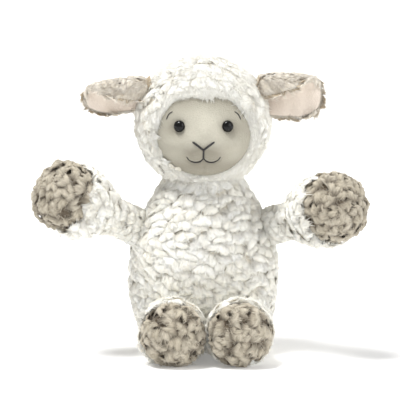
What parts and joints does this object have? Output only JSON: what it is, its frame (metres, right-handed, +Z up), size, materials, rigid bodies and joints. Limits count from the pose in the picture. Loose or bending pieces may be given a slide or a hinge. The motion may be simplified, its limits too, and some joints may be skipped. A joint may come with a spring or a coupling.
{
  "type": "plush sheep",
  "caption": "Seated plush sheep in curly white pile, with beige paws, feet and ears, a smooth face, glossy eyes and soft joints at neck, arms, legs, ears and tail.",
  "frame": {"origin": "on the floor, at the centre of the flat seat under the torso", "axes": "+Z up, the face looks along -Y, +X to the right of a viewer who faces the sheep"},
  "size_m": [0.2996, 0.1908, 0.2654],
  "materials": {
    "white_plush": "curly pile",
    "beige_plush": "curly pile",
    "face_velour": "short velour",
    "ear_velour": "short velour",
    "gloss_black": "polished",
    "black_thread": "satin stitch",
    "fibre_filling": "loose fibre",
    "pellet_cloth": "plain weave",
    "washer_plastic": "moulded"
  },
  "bodies": {
    "torso": {"torso_cover": "white_plush", "torso_filling": "fibre_filling", "seat_pellet_bag": "pellet_cloth"},
    "neck": {"neck_filling": "fibre_filling"},
    "head": {"head_cover": "white_plush", "face_panel": "face_velour", "head_filling": "fibre_filling", "nose_stitching": "black_thread", "mouth_stitching": "black_thread", "brow_left": "black_thread", "brow_right": "black_thread", "eye_left": "gloss_black", "eye_right": "gloss_black", "eye_washer_left": "washer_plastic", "eye_washer_right": "washer_plastic"},
    "ear_left": {"ear_outer_left": "beige_plush", "ear_lining_left": "ear_velour"},
    "ear_right": {"ear_outer_right": "beige_plush", "ear_lining_right": "ear_velour"},
    "arm_left": {"arm_cover_left": "white_plush", "paw_left": "beige_plush", "arm_filling_left": "fibre_filling"},
    "arm_right": {"arm_cover_right": "white_plush", "paw_right": "beige_plush", "arm_filling_right": "fibre_filling"},
    "leg_left": {"leg_cover_left": "white_plush", "foot_left": "beige_plush", "leg_filling_left": "fibre_filling"},
    "leg_right": {"leg_cover_right": "white_plush", "foot_right": "beige_plush", "leg_filling_right": "fibre_filling"},
    "tail": {"tail": "white_plush"}
  },
  "joints": [
    {"name": "head_turn", "type": "hinge", "parent": "torso", "child": "neck", "pos_m": [0, 0, 0.205], "axis": [0, 0, 1], "range_deg": [-30, 30]},
    {"name": "head_nod", "type": "hinge", "parent": "neck", "child": "head", "pos_m": [0, 0, 0.205], "axis": [1, 0, 0], "range_deg": [-8, 10]},
    {"name": "arm_left_lift", "type": "hinge", "parent": "torso", "child": "arm_left", "pos_m": [-0.061, -0.008, 0.112], "axis": [-0.4226, 0.9063, 0], "range_deg": [-22, 24]},
    {"name": "arm_right_lift", "type": "hinge", "parent": "torso", "child": "arm_right", "pos_m": [0.061, -0.008, 0.112], "axis": [-0.6428, -0.766, 0], "range_deg": [-22, 24]},
    {"name": "leg_left_spread", "type": "hinge", "parent": "torso", "child": "leg_left", "pos_m": [-0.0294, -0.055, 0.028], "axis": [0, 0, -1], "range_deg": [0, 35]},
    {"name": "leg_right_spread", "type": "hinge", "parent": "torso", "child": "leg_right", "pos_m": [0.0294, -0.055, 0.028], "axis": [0, 0, 1], "range_deg": [0, 35]},
    {"name": "ear_left_flap", "type": "hinge", "parent": "head", "child": "ear_left", "pos_m": [-0.05794, 0.0029, 0.22721], "axis": [-0.1045, 0.9945, 0], "range_deg": [-20, 15]},
    {"name": "ear_right_flap", "type": "hinge", "parent": "head", "child": "ear_right", "pos_m": [0.05794, 0.0029, 0.22721], "axis": [-0.1045, -0.9945, 0], "range_deg": [-20, 15]},
    {"name": "tail_swing", "type": "hinge", "parent": "torso", "child": "tail", "pos_m": [0, 0.056, 0.046], "axis": [1, 0, 0], "range_deg": [-5, 35]}
  ]
}
